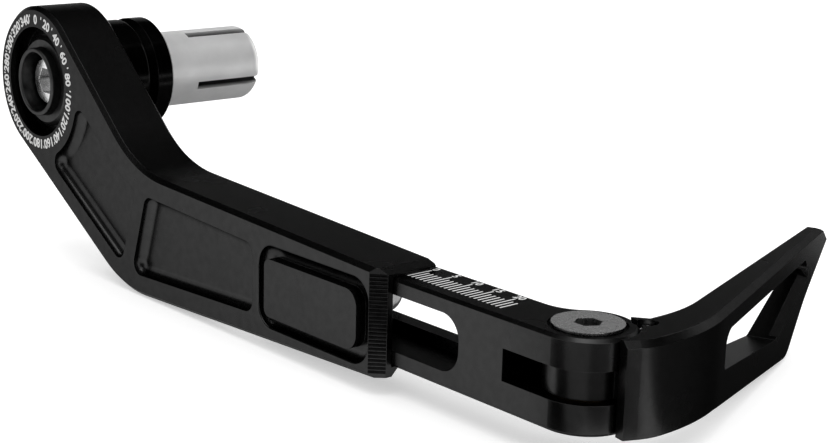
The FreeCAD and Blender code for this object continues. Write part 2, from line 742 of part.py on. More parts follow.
def tip_blade(body):
    """The plan of the blade, padded over its full flared height, less the round shoulder."""
    front_bend = ("shoulder_front_x", "(front_line_x - shoulder_front_x) / tan(front_sweep)")
    front_corner = ("shoulder_front_x", "pivot_y + shoulder_corner_out")
    back_bend = ("back_root_x", "(back_line_x - back_root_x) / tan(back_sweep)")
    far = "(end_top + tip_edge_chamfer)"
    plan = [("shoulder_corner_x", "pivot_y - shoulder_corner_in"), front_corner, front_bend,
            ("front_line_x - %s * tan(front_sweep)" % far, far),
            ("back_line_x - %s * tan(back_sweep)" % far, far),
            back_bend, ("back_root_x", "pivot_y + shoulder_radius + back_root_out"),
            ("eye_x + back_corner_in", "pivot_y + shoulder_radius"), ("eye_x", "pivot_y")]
    sketch = new_sketch(body, "tip_plan", "XY_Plane", ("0", "0", "slider_top"))
    corners(sketch, plan)
    feature = grow(body, sketch, "slider_height + flare_drop", "blade", True)
    for place, radius, name in ((front_bend, "front_bend_radius", "front_bend"),
                                (back_bend, "back_bend_radius", "back_bend"),
                                (front_corner, "front_corner_radius", "front_corner")):
        names = edges_along(feature.Shape, "z", vertical([place]))
        feature = soften(body, feature, names, radius, name)
    sketch = new_sketch(body, "shoulder_sketch", "XY_Plane", ("0", "0", "slider_top"))
    disc(sketch, "shoulder_radius", "eye_x", "pivot_y")
    sink(body, sketch, "shoulder")


def front_sketch(body, name, points):
    """An outline on the swept front: distance along the blade, and height from its top."""
    base = ("0", "slider_top", "front_line_x")
    sketch = new_sketch(body, name, "YZ_Plane", base, (Vector(0, 1, 0), "front_sweep"))
    corners(sketch, points)
    return sketch


def through_edges(shape, points):
    """Names of the edges square to the swept front that start at its corners."""
    turn = FreeCAD.Rotation(Vector(0, 0, 1), value("front_sweep"))
    across = turn.multVec(Vector(1, 0, 0))
    along = turn.multVec(Vector(0, 1, 0))
    origin = Vector(value("front_line_x"), 0, value("slider_top"))
    names = []
    for u, v in points:
        corner = origin + along * value(u) + Vector(0, 0, value(v))
        for number, edge in enumerate(shape.Edges, 1):
            if edge.Curve.TypeId != "Part::GeomLine":
                continue
            if all((point - corner).cross(across).Length < 0.02 for point in ends_of(edge)):
                names.append("Edge%d" % number)
    return names


def tip_profile(body):
    """The flared underside and the raked end, cut square to the swept front."""
    low = "-slider_height"
    heel = ("flare_end", low + " - flare_drop")
    waist = ("end_waist", low + " - flare_drop + end_waist_rise")
    clear = "tip_edge_chamfer"
    sketch = front_sketch(body, "profile_sketch", [
        ("-front_line_x", low), ("flare_start", low), heel, waist, ("end_top", "-end_top_drop"),
        ("end_crest", "0"), ("end_crest", clear), ("end_top * 2", clear),
        ("end_top * 2", low + " * 2"), ("-front_line_x", low + " * 2")])
    feature = sink(body, sketch, "profile")
    for place, radius, name in ((heel, "end_bottom_radius", "heel_round"),
                                (waist, "end_waist_radius", "waist_round")):
        names = through_edges(feature.Shape, [place])
        feature = soften(body, feature, names, radius, name)


def tip_window(body):
    """The window, with a bevel along its raked side."""
    top = "-window_top_drop"
    crest = ("window_right", top)
    bottom = ("window_bottom", "-window_bottom_drop")
    hook = ("window_left", "-window_hook_drop")
    shoulder = ("window_left", top)
    feature = sink(body, front_sketch(body, "window_sketch", [shoulder, crest, bottom, hook]), "window")
    for place, radius, name in ((shoulder, "window_left_radius", "window_shoulder"),
                                (crest, "window_right_radius", "window_crest"),
                                (bottom, "window_bottom_radius", "window_bottom_round"),
                                (hook, "window_hook_radius", "window_hook_round")):
        feature = soften(body, feature, through_edges(feature.Shape, [place]), radius, name)
    window_bevel(body)


def window_bevel(body):
    """A prism along the raked side, between two triangles square to the blade."""
    slope = "((window_bottom_drop - window_top_drop) / (window_right - window_bottom))"
    width = "(window_ledge * sqrt(1 + %s ^ 2))" % slope
    sections = []
    for number, along in enumerate(("window_bottom + window_bevel_start", "window_right - window_bevel_end")):
        base = ("front_line_x - (%s) * sin(front_sweep)" % along, "slider_top",
                "-(%s) * cos(front_sweep)" % along)
        sketch = new_sketch(body, "bevel_sketch_%d" % number, "XZ_Plane", base,
                            (Vector(0, 1, 0), "front_sweep"))
        edge = "(%s * (%s - window_bottom) - window_bottom_drop)" % (slope, along)
        past = "%s + %s / 2" % (edge, width)
        corners(sketch, [("window_ledge / 2", "%s - %s - %s / 2" % (edge, width, width)),
                         ("-window_ledge - window_ledge / 2", past), ("window_ledge / 2", past)])
        sections.append(sketch)
    before = body.Shape.Volume
    loft = body.newObject("PartDesign::SubtractiveLoft", "window_bevel")
    loft.Profile = sections[0]
    loft.Sections = sections[1:]
    loft.Ruled = True
    doc.recompute()
    if not body.Shape.Volume < before - 1e-6:
        raise RuntimeError("window_bevel cuts nothing")


def tip_edges(body):
    """Bevels along the outer edges of the top and the root's underside."""
    pivot = Vector(value("eye_x"), value("pivot_y"), 0)
    reach = value("shoulder_radius + back_root_out + bevel_start_gap")

    def outer(point):
        return math.hypot(point.x - pivot.x, point.y - pivot.y) > reach

    names = edges_in_plane(body.Tip.Shape, "z", value("slider_top"), outer)
    soften(body, body.Tip, names, "tip_edge_chamfer", "tip_top_edges", "Chamfer")


def tip_tongue(body):
    """The tongue between the ears, with a heel that stops it at the fork's root."""
    level = ("0", "0", "-slider_centre_drop - tongue_half")
    height = "2 * tongue_half"
    out = "(pivot_y + shoulder_radius + back_root_out)"
    sketch = new_sketch(body, "tongue_root_sketch", "XY_Plane", level)
    corners(sketch, [("eye_x", "pivot_y"),
                     ("shoulder_corner_x - tongue_root_inset", "pivot_y - shoulder_corner_in / 2"),
                     ("eye_x + shoulder_radius", out), ("eye_x + tongue_root_in", out)])
    grow(body, sketch, height, "tongue_root")
    sketch = new_sketch(body, "tongue_sketch", "XY_Plane", level)
    disc(sketch, "tongue_radius", "eye_x", "pivot_y")
    grow(body, sketch, height, "tongue")
    stop = "fork_root_x + stop_clearance"
    sketch = new_sketch(body, "heel_sketch", "XY_Plane", level)
    corners(sketch, [("eye_x", "pivot_y"), ("eye_x - heel_slope", "pivot_y + tongue_radius - heel_fall"),
                     (stop, "pivot_y + heel_width"), (stop, "pivot_y + stop_clearance")])
    grow(body, sketch, height, "heel")
    sketch = new_sketch(body, "bush_bore_sketch", "XY_Plane", ("0", "0", "slider_top"))
    disc(sketch, "bush_radius + seat_clearance", "eye_x", "pivot_y")
    sink(body, sketch, "bush_bore")


def tip_detent(body):
    """The blind bore for ball and spring, and a well that opens it at the top."""
    sketch = new_sketch(body, "detent_sketch", "XZ_Plane", ("eye_x", "ball_z", "-pivot_y"),
                        (Vector(0, 1, 0), "90 + detent_angle"))
    disc(sketch, "ball_radius + running_clearance")
    sink(body, sketch, "detent_bore", "shoulder_radius + detent_bore_depth", True)
    sketch = new_sketch(body, "well_sketch", "XY_Plane", ("0", "0", "slider_top"))
    disc(sketch, "ball_radius + notch_clearance", "eye_x + ball_reach * cos(detent_angle)",
         "pivot_y + ball_reach * sin(detent_angle)")
    sink(body, sketch, "well", "well_depth")


# Turned pieces

# An outline in a plane through the piece's axis: its place along the axis, then its radius
Y_AXIS = ("YZ_Plane", "H_Axis")
# The pivot's outlines hold the radius first and then the height
Z_AXIS = ("XZ_Plane", "V_Axis")
PIVOT = ("eye_x", "0", "-pivot_y")


def lathe(name, axis, points, base=("0", "0", "0")):
    body = new_body(name)
    sketch = new_sketch(body, name + "_sketch", axis[0], base)
    corners(sketch, points)
    turned(body, sketch, axis[1], name + "_turned")
    return body


def hex_socket(body, role, base, flats, depth, reverse=False):
    sketch = new_sketch(body, body.Name + "_socket_sketch", role, base)
    hexagon(sketch, flats)
    sink(body, sketch, body.Name + "_socket", depth, reverse)


def rim(body, level, radius):
    """Names of the edges that run round the Y direction at a level and a radius."""
    return ["Edge%d" % number for number, edge in enumerate(body.Tip.Shape.Edges, 1)
            if edge.Curve.TypeId == "Part::GeomCircle"
            and abs(edge.CenterOfMass.y - value(level)) < 0.01
            and abs(edge.Curve.Radius - value(radius)) < 0.01]


def make_pivot_screw():
    land = "(head_top - pivot_head_land)"
    end = "slider_bottom + pivot_screw_inset"
    body = lathe("pivot_screw", Z_AXIS, [
        ("0", "head_top"), ("pivot_head_radius", "head_top"), ("pivot_head_radius", land),
        ("pivot_radius", land + " - (pivot_head_radius - pivot_radius)"),
        ("pivot_radius", end), ("0", end)], PIVOT)
    hex_socket(body, "XY_Plane", ("eye_x", "pivot_y", "head_top"), "pivot_socket_flats", "pivot_socket_depth")
    return body


def make_pivot_nut():
    body = new_body("pivot_nut")
    base = ("eye_x", "pivot_y", "slider_bottom + pivot_nut_gap")
    sketch = new_sketch(body, "nut_sketch", "XY_Plane", base)
    hexagon(sketch, "pivot_nut_flats")
    disc(sketch, "pivot_radius + seat_clearance")
    grow(body, sketch, "pivot_nut_height", "nut")
    return body


def make_ring(name, outer, inner, low, high, base=PIVOT, axis=Z_AXIS):
    """A plain ring between two places on its axis."""
    points = [(inner, low), (outer, low), (outer, high), (inner, high)]
    if axis == Y_AXIS:
        points = [(along, radius) for radius, along in points]
    return lathe(name, axis, points, base)


def make_pivot_rings():
    hole = "pivot_radius + pivot_clearance"
    middle = "-slider_centre_drop"
    near = "(tongue_half + seat_clearance)"
    far = "(fork_gap / 2)"
    return [
        make_ring("pivot_bush", "bush_radius", hole, middle + " - tongue_half", middle + " + tongue_half"),
        make_ring("thrust_washer_upper", "thrust_washer_radius", hole,
                  "%s + %s" % (middle, near), "%s + %s" % (middle, far)),
        make_ring("thrust_washer_lower", "thrust_washer_radius", hole,
                  "%s - %s" % (middle, far), "%s - %s" % (middle, near))]


def make_clamp_pair(side, place):
    """One clamp screw and its washer, from the back through the narrow slot."""
    base = ("0", "-slider_centre_drop", place)
    seat = "(slider_back + clamp_washer_thickness)"
    washer = make_ring("clamp_washer_" + side, "clamp_washer_radius", "clamp_screw_radius + bolt_clearance",
                       "slider_back", seat, base, Y_AXIS)
    top = seat + " + clamp_head_height"
    end = seat + " - clamp_screw_length"
    screw = lathe("clamp_screw_" + side, Y_AXIS, [
        (end, "0"), (end, "clamp_screw_radius"), (seat, "clamp_screw_radius"),
        (seat, "clamp_head_radius"), (top, "clamp_head_radius"), (top, "0")], base)
    soften(screw, screw.Tip, rim(screw, top, "clamp_head_radius"), "clamp_head_round", screw.Name + "_dome")
    hex_socket(screw, "XZ_Plane", (place, "-slider_centre_drop", "-%s - clamp_head_height" % seat),
               "clamp_socket_flats", "clamp_socket_depth", True)
    return [screw, washer]


def make_bar_plug():
    """The spindle of the arm and the expander, along the bar axis."""
    front = "-arm_thickness"
    floor = "(-bolt_seat + bolt_washer_thickness)"
    hole = "bolt_radius + bolt_clearance"
    step = "(spacer_length + flange_length - spigot_length)"
    cup = lathe("bolt_cup", Y_AXIS, [
        (front + " - cup_proud", "cup_radius - cup_wall"), (front + " - cup_proud", "cup_radius"),
        ("-boss_web", "cup_radius"), ("-boss_web", hole), (floor, hole),
        (floor, "cup_radius - cup_wall")])
    for radius, name in (("cup_radius", "cup_outer_edge"), ("cup_radius - cup_wall", "cup_inner_edge")):
        soften(cup, cup.Tip, rim(cup, front + " - cup_proud", radius), "cup_edge", name)
    flange = front + " + recess_depth"
    top = flange + " - bushing_flange_thickness"
    bushing = lathe("boss_bushing", Y_AXIS, [
        (top, "bushing_bore"), (top, "bushing_flange_radius - bushing_step"),
        (top + " + bushing_step", "bushing_flange_radius"), (flange, "bushing_flange_radius"),
        (flange, "bushing_radius"), ("-boss_web", "bushing_radius"), ("-boss_web", "bushing_bore")])
    spacer = lathe("spacer_ring", Y_AXIS, [
        ("0", hole), ("0", "spacer_radius - spacer_edge"), ("spacer_edge", "spacer_radius"),
        ("spacer_length", "spacer_radius"), ("spacer_length", hole)])
    shoulder = rim(spacer, "spacer_length", "spacer_radius")
    soften(spacer, spacer.Tip, shoulder, "spacer_round", "spacer_shoulder")
    ring = lathe("end_flange", Y_AXIS, [
        ("spacer_length", hole), ("spacer_length", "flange_radius - flange_cone"),
        ("spacer_length + flange_cone", "flange_radius"), ("bar_face - flange_edge", "flange_radius"),
        ("bar_face", "flange_radius - flange_edge"), ("bar_face", "spigot_radius + running_clearance"),
        (step, "spigot_radius + running_clearance"), (step, hole)])
    washer = make_ring("bolt_washer", "cup_radius - cup_wall - running_clearance * 2", hole,
                       "-bolt_seat", floor, ("0", "0", "0"), Y_AXIS)
    return [cup, bushing, spacer, ring, washer]


def make_collet():
    hole = "bolt_radius + bolt_clearance"
    step = "(bar_face - spigot_length)"
    root = "(collet_end - cone_length)"
    body = lathe("collet", Y_AXIS, [
        (step, hole), (step, "spigot_radius"), ("bar_face", "spigot_radius"),
        ("bar_face", "collet_radius"), ("collet_end", "collet_radius"), ("collet_end", "cone_mouth_radius"),
        (root, "cone_root_radius"), (root + " - collet_relief", "cone_root_radius"),
        (root + " - collet_relief", hole)])
    soften(body, body.Tip, rim(body, "collet_end", "collet_radius"), "collet_end_radius", "collet_nose")
    for number, turn in enumerate(("collet_slot_angle", "collet_slot_angle + 90")):
        sketch = new_sketch(body, "collet_slot_sketch_%d" % number, "XZ_Plane", ("0", "0", "-collet_end"),
                            (Vector(0, 0, 1), turn))
        corners(sketch, box_corners("-collet_radius * 2", "collet_radius * 2",
                                    "collet_slot_width / 2", "-collet_slot_width / 2"))
        sink(body, sketch, "collet_slot_%d" % number, "collet_slot_length", True)
    return body


def make_cone_nut():
    root = "(collet_end - cone_length + running_clearance)"
    gap = " - running_clearance"
    hole = "bolt_radius + seat_clearance"
    end = "collet_end + cone_stand_out"
    return lathe("cone_nut", Y_AXIS, [
        (root, hole), (root, "cone_root_radius" + gap), ("collet_end", "cone_mouth_radius" + gap),
        (end, "cone_mouth_radius" + gap), (end, hole)])


def make_plug_bolt():
    head = "-bolt_head_top"
    end = "collet_end + cone_stand_out"
    body = lathe("plug_bolt", Y_AXIS, [
        (head, "0"), (head, "bolt_head_radius - bolt_head_edge"),
        (head + " + bolt_head_edge", "bolt_head_radius"), ("-bolt_seat", "bolt_head_radius"),
        ("-bolt_seat", "bolt_radius"), (end, "bolt_radius"), (end, "0")])
    hex_socket(body, "XZ_Plane", ("0", "0", "bolt_head_top"), "bolt_socket_flats", "bolt_socket_depth")
    return body


# Detent ball and spring


def detent_place(reach):
    """A placement on the detent's axis, with +Z pointing away from the pivot."""
    angle = value("detent_angle")
    out = Vector(math.cos(math.radians(angle)), math.sin(math.radians(angle)), 0)
    centre = Vector(value("eye_x"), value("pivot_y - bar_face"), value("ball_z")) + out * value(reach)
    return FreeCAD.Placement(centre, FreeCAD.Rotation(Vector(0, 0, 1), out))


def make_detent_ball():
    ball = doc.addObject("Part::Sphere", "detent_ball")
    ball.Label = "detent_ball"
    bind(ball, "Radius", "ball_radius")
    ball.Placement = detent_place("ball_reach")
    doc.recompute()
    return ball


def make_detent_spring():
    start = "(ball_reach + ball_radius + spring_wire)"
    spine = doc.addObject("Part::Helix", "spring_path")
    bind(spine, "Radius", "spring_radius")
    free = "(shoulder_radius + detent_bore_depth - spring_wire * 2 - %s)" % start
    bind(spine, "Height", free)
    bind(spine, "Pitch", "%s / spring_coils" % free)
    wire = doc.addObject("Part::Circle", "spring_section")
    bind(wire, "Radius", "spring_wire")
    turn = FreeCAD.Rotation(Vector(1, 0, 0), 90)
    wire.Placement = FreeCAD.Placement(Vector(value("spring_radius"), 0, 0), turn)
    spring = doc.addObject("Part::Sweep", "detent_spring")
    spring.Label = "detent_spring"
    spring.Sections = [wire]
    spring.Spine = (spine, [])
    spring.Solid = True
    spring.Frenet = True
    spring.Placement = detent_place(start)
    doc.recompute()
    return spring


PIECES = [make_arm(), make_slider(), make_tip(), make_pivot_screw(), make_pivot_nut()]
PIECES += make_pivot_rings()
PIECES += make_clamp_pair("inner", "clamp_first_x")
PIECES += make_clamp_pair("outer", "clamp_second_x")
PIECES += make_bar_plug()
PIECES += [make_collet(), make_cone_nut(), make_plug_bolt(), make_detent_ball(), make_detent_spring()]
doc.recompute()

for item in doc.Objects:
    if "Invalid" in item.State or "Error" in item.State:
        raise RuntimeError("%s failed: %s" % (item.Label, item.State))
for piece in PIECES:
    shape = piece.Shape
    if shape.isNull() or not shape.isValid() or len(shape.Solids) != 1:
        raise RuntimeError("%s has no sound solid" % piece.Label)

os.makedirs("parts", exist_ok=True)
for piece in PIECES:
    piece.Shape.exportStep("parts/%s.step" % piece.Label)
    print("%-20s %9.1f mm3" % (piece.Label, piece.Shape.Volume))
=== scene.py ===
"""Looks of the brake lever guard: anodised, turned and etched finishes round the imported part."""
import math

import bpy
from mathutils import Matrix, Vector


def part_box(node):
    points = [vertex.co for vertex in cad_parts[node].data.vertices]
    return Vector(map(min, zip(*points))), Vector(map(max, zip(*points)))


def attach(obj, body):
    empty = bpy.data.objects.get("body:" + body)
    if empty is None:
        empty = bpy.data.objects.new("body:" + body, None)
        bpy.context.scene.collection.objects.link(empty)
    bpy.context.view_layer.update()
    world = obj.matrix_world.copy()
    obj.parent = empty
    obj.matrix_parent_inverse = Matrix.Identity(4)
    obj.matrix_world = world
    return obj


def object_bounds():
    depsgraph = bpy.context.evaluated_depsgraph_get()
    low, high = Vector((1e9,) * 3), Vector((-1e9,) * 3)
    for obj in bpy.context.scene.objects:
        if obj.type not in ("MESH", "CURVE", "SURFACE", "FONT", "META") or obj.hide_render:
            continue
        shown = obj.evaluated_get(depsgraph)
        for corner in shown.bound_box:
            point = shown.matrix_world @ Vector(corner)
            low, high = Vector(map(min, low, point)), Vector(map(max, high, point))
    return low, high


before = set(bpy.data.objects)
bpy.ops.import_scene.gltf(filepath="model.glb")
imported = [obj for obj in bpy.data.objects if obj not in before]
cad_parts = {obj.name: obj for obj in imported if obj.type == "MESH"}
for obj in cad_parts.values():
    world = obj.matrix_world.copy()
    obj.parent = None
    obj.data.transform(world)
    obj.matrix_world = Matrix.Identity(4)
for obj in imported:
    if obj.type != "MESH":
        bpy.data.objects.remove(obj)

cad_box = [list(corner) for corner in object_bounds()]

# Camera
# A long lens beside the folding tip, a little above the slider and tilted,
# so that the boss is smaller than the tip.
camera_azimuth = math.radians(48.9363)
camera_pitch = math.radians(75.7542)
camera_roll = math.radians(1.6127)
camera_place = Vector((0.32128, -0.20171, 0.06345))
camera_film_width = 36.0
camera_lens = 76.40
camera_near = 0.01
camera_data = bpy.data.cameras.new("camera")
camera_data.sensor_width = camera_film_width
camera_data.lens = camera_lens
camera_data.clip_start = camera_near
camera = bpy.data.objects.new("camera", camera_data)
turn = Matrix.Rotation(camera_azimuth, 4, "Z") @ Matrix.Rotation(camera_pitch, 4, "X")
camera.matrix_world = Matrix.Translation(camera_place) @ turn @ Matrix.Rotation(camera_roll, 4, "Z")
bpy.context.scene.collection.objects.link(camera)
bpy.context.scene.camera = camera


# Satin black anodised pieces
# Arm, slider and folding tip are milled from aluminium bar, bead blasted and
# anodised black. The grain is finer than a tenth of a millimetre.
satin_dark = (0.037, 0.037, 0.037, 1.0)
satin_light = (0.042, 0.042, 0.042, 1.0)
satin_patch = 700.0
satin_sheen_patch = 87.5
satin_grain = 9000.0
satin_grain_depth = 0.000004
satin_rough = (0.24, 0.28)
satin_grazing = (0.40, 0.40, 0.40, 1.0)
edge_break = 0.00012
edge_samples = 6
noise_span = (0.3, 0.7)
noise_colour_span = (0.35, 0.65)


def new_material(name):
    """A material with only its surface shader, and the tree to build on."""
    material = bpy.data.materials.new(name)
    material.use_nodes = True
    tree = material.node_tree
    return material, tree, tree.nodes["Principled BSDF"]


def object_noise(tree, scale, detail=3.0, stretch=(1.0, 1.0, 1.0)):
    """Noise fixed to the piece, stretched along its axes where a tool has run."""
    place = tree.nodes.new("ShaderNodeTexCoord")
    mapping = tree.nodes.new("ShaderNodeMapping")
    mapping.inputs["Scale"].default_value = stretch
    noise = tree.nodes.new("ShaderNodeTexNoise")
    noise.inputs["Scale"].default_value = scale
    noise.inputs["Detail"].default_value = detail
    tree.links.new(place.outputs["Object"], mapping.inputs["Vector"])
    tree.links.new(mapping.outputs["Vector"], noise.inputs["Vector"])
    return noise.outputs["Fac"]


def between_colours(tree, factor, low, high, socket):
    """A colour that follows a noise from one colour to another."""
    ramp = tree.nodes.new("ShaderNodeValToRGB")
    for element, position, colour in zip(ramp.color_ramp.elements, noise_colour_span, (low, high)):
        element.position = position
        element.color = colour
    tree.links.new(factor, ramp.inputs["Fac"])
    tree.links.new(ramp.outputs["Color"], socket)


def between_values(tree, factor, limits, socket, span=noise_span):
    """A value that goes from one limit to the other as the factor goes through its span."""
    mapped = tree.nodes.new("ShaderNodeMapRange")
    for label, limit in zip(("From Min", "From Max", "To Min", "To Max"), span + limits):
        mapped.inputs[label].default_value = limit
    tree.links.new(factor, mapped.inputs["Value"])
    tree.links.new(mapped.outputs["Result"], socket)


def broken_edge(tree, height, depth):
    """A normal that rounds the light over sharp edges and adds the grain to it."""
    edge = tree.nodes.new("ShaderNodeBevel")
    edge.samples = edge_samples
    edge.inputs["Radius"].default_value = edge_break
    bump = tree.nodes.new("ShaderNodeBump")
    bump.inputs["Strength"].default_value = 1.0
    bump.inputs["Distance"].default_value = depth
    tree.links.new(edge.outputs["Normal"], bump.inputs["Normal"])
    tree.links.new(height, bump.inputs["Height"])
    return bump.outputs["Normal"]


def anodised_black(name, dark, light):
    """Black anodised metal, with the tree and the surface that a grain is added to."""
    material, tree, surface = new_material(name)
    surface.inputs["Metallic"].default_value = 1.0
    surface.inputs["Specular Tint"].default_value = satin_grazing
    between_colours(tree, object_noise(tree, satin_patch), dark, light, surface.inputs["Base Color"])
    between_values(tree, object_noise(tree, satin_sheen_patch), satin_rough, surface.inputs["Roughness"])
    return material, tree, surface


def finish_pieces(names, material):
    for name in names:
        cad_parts[name].material_slots[0].material = material


satin_black, tree, surface = anodised_black("satin_black_anodised", satin_dark, satin_light)
grain = object_noise(tree, satin_grain, detail=2.0)
tree.links.new(broken_edge(tree, grain, satin_grain_depth), surface.inputs["Normal"])
finish_pieces(("arm", "slider", "tip"), satin_black)


# Degree ring on the boss
# White laser marks on the front of the boss: a number at each twenty degrees,
# and a tick halfway between. They show how far the arm is turned on the bar.
etched_white = (0.80, 0.80, 0.79, 1.0)
etched_grey = (0.62, 0.62, 0.62, 1.0)
etched_rough = 0.55
etched_speckle = 5000.0
mark_relief = 0.00003
ring_radius = 0.01284
ring_tick_radius = 0.0135
ring_tick_length = 0.00055
ring_tick_width = 0.00028
ring_step = 20
ring_number_height = 0.00185
ring_number_weight = 0.00008
font_digit_share = 0.7
font_curve_steps = 3
arm_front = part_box("arm")[0].y

etched, tree, surface = new_material("etched_white")
surface.inputs["Roughness"].default_value = etched_rough
speckle = object_noise(tree, etched_speckle)
between_colours(tree, speckle, etched_grey, etched_white, surface.inputs["Base Color"])


def grown_by_rule(name, sizes, layout, material):
    """A plain mesh from a geometry tree that has the named sizes as its inputs."""
    tree = bpy.data.node_groups.new(name + "_rule", "GeometryNodeTree")
    tree.interface.new_socket("Geometry", in_out="OUTPUT", socket_type="NodeSocketGeometry")
    keys = {}
    for label, size in sizes.items():
        kind = "NodeSocketInt" if isinstance(size, int) else "NodeSocketFloat"
        keys[label] = tree.interface.new_socket(label, in_out="INPUT", socket_type=kind).identifier
    sockets = tree.nodes.new("NodeGroupInput").outputs
    realize = tree.nodes.new("GeometryNodeRealizeInstances")
    paint = tree.nodes.new("GeometryNodeSetMaterial")
    paint.inputs["Material"].default_value = material
    tree.links.new(layout(tree, sockets), realize.inputs["Geometry"])
    tree.links.new(realize.outputs["Geometry"], paint.inputs["Geometry"])
    tree.links.new(paint.outputs["Geometry"], tree.nodes.new("NodeGroupOutput").inputs["Geometry"])
    piece = bpy.data.objects.new(name, bpy.data.meshes.new(name))
    bpy.context.scene.collection.objects.link(piece)
    modifier = piece.modifiers.new("rule", "NODES")
    modifier.node_group = tree
    for label, size in sizes.items():
        modifier[keys[label]] = size
    seen = piece.evaluated_get(bpy.context.evaluated_depsgraph_get())
    mesh = bpy.data.meshes.new_from_object(seen)
    piece.modifiers.remove(modifier)
    piece.data = mesh
    return piece


def feed(tree, sockets, terms):
    """Gives each socket its term, which is a number or another node's output."""
    for socket, term in zip(sockets, terms):
        if isinstance(term, (int, float)):
            socket.default_value = term
        else:
            tree.links.new(term, socket)


def arithmetic(tree, operation, first, second):
    node = tree.nodes.new("ShaderNodeMath")
    node.operation = operation
    feed(tree, node.inputs, (first, second))
    return node.outputs["Value"]


def vector_of(tree, x, y, z):
    node = tree.nodes.new("ShaderNodeCombineXYZ")
    feed(tree, node.inputs, (x, y, z))
    return node.outputs["Vector"]


def block(tree, x, y, z):
    node = tree.nodes.new("GeometryNodeMeshCube")
    tree.links.new(vector_of(tree, x, y, z), node.inputs["Size"])
    return node.outputs["Mesh"]


def moved(tree, geometry, shift, rotation=(0.0, 0.0, 0.0)):
    node = tree.nodes.new("GeometryNodeTransform")
    tree.links.new(geometry, node.inputs["Geometry"])
    tree.links.new(shift, node.inputs["Translation"])
    node.inputs["Rotation"].default_value = rotation
    return node.outputs["Geometry"]


def placed_on(tree, points, shape, rotation=None, scale=None):
    node = tree.nodes.new("GeometryNodeInstanceOnPoints")
    tree.links.new(points, node.inputs["Points"])
    tree.links.new(shape, node.inputs["Instance"])
    if rotation:
        tree.links.new(rotation, node.inputs["Rotation"])
    if scale:
        tree.links.new(scale, node.inputs["Scale"])
    return node.outputs["Instances"]


def ring_of_ticks(tree, size):
    """Ticks that point outwards from a circle, half sunk in the boss's face."""
    circle = tree.nodes.new("GeometryNodeMeshCircle")
    tree.links.new(size["Ticks"], circle.inputs["Vertices"])
    tree.links.new(size["Radius"], circle.inputs["Radius"])
    index = tree.nodes.new("GeometryNodeInputIndex").outputs["Index"]
    step = arithmetic(tree, "DIVIDE", 2 * math.pi, size["Ticks"])
    angle = arithmetic(tree, "MULTIPLY", index, step)
    depth = arithmetic(tree, "MULTIPLY", size["Relief"], 2)
    tick = block(tree, size["Tick Length"], size["Tick Width"], depth)
    ring = placed_on(tree, circle.outputs["Mesh"], tick, rotation=vector_of(tree, 0.0, 0.0, angle))
    return moved(tree, ring, vector_of(tree, 0.0, size["Face"], 0.0), (math.pi / 2, 0.0, 0.0))


ring_ticks = grown_by_rule("arm_degree_ticks", {
    "Ticks": 360 // ring_step, "Radius": ring_tick_radius, "Tick Length": ring_tick_length,
    "Tick Width": ring_tick_width, "Relief": mark_relief, "Face": arm_front}, ring_of_ticks, etched)
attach(ring_ticks, "arm")


def engraved_numbers(name, labels, material):
    """One mesh of numbers: each label has its words, letter height, weight and place."""
    mesh = bpy.data.meshes.new(name)
    vertices, faces = [], []
    for words, height, weight, place in labels:
        curve = bpy.data.curves.new(name + "_text", "FONT")
        curve.body = words
        curve.size = height / font_digit_share
        curve.offset = weight
        curve.extrude = mark_relief
        curve.align_x = "CENTER"
        curve.resolution_u = font_curve_steps
        text = bpy.data.objects.new(name + "_text", curve)
        bpy.context.scene.collection.objects.link(text)
        shape = bpy.data.meshes.new_from_object(text.evaluated_get(bpy.context.evaluated_depsgraph_get()))
        bpy.data.objects.remove(text)
        first = len(vertices)
        vertices += [place @ (corner.co - Vector((0.0, height / 2, 0.0))) for corner in shape.vertices]
        faces += [[first + number for number in face.vertices] for face in shape.polygons]
    mesh.from_pydata(vertices, [], faces)
    mesh.materials.append(material)
    piece = bpy.data.objects.new(name, mesh)
    bpy.context.scene.collection.objects.link(piece)
    return piece


ring_labels = []
for degrees in range(0, 360, ring_step):
    angle = math.radians(90 - degrees)
    outward = Vector((math.cos(angle), 0.0, math.sin(angle)))
    along = Vector((math.sin(angle), 0.0, -math.cos(angle)))
    place = Matrix.Translation(outward * ring_radius + Vector((0.0, arm_front, 0.0)))
    place @= Matrix((along, outward, Vector((0.0, -1.0, 0.0)))).transposed().to_4x4()
    ring_labels.append((str(degrees), ring_number_height, ring_number_weight, place))
ring_numbers = engraved_numbers("arm_degree_numbers", ring_labels, etched)
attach(ring_numbers, "arm")


# Millimetre scale on the slider
# Twenty-two divisions are laser marked on the slider's top, with a longer line
# and a number at each fifth one, to repeat a setting of the reach.
scale_lines = 23
scale_fifth = 5
scale_first = 0.11103
scale_step = 0.001
scale_margin = 0.00275
scale_short = 0.0038
scale_long_ratio = 1.37
scale_line_width = 0.00028
scale_number_height = 0.00150
scale_number_weight = 0.00004
scale_number_gap = 0.00035
scale_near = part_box("slider")[0].y + scale_margin
slider_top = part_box("slider")[1].z


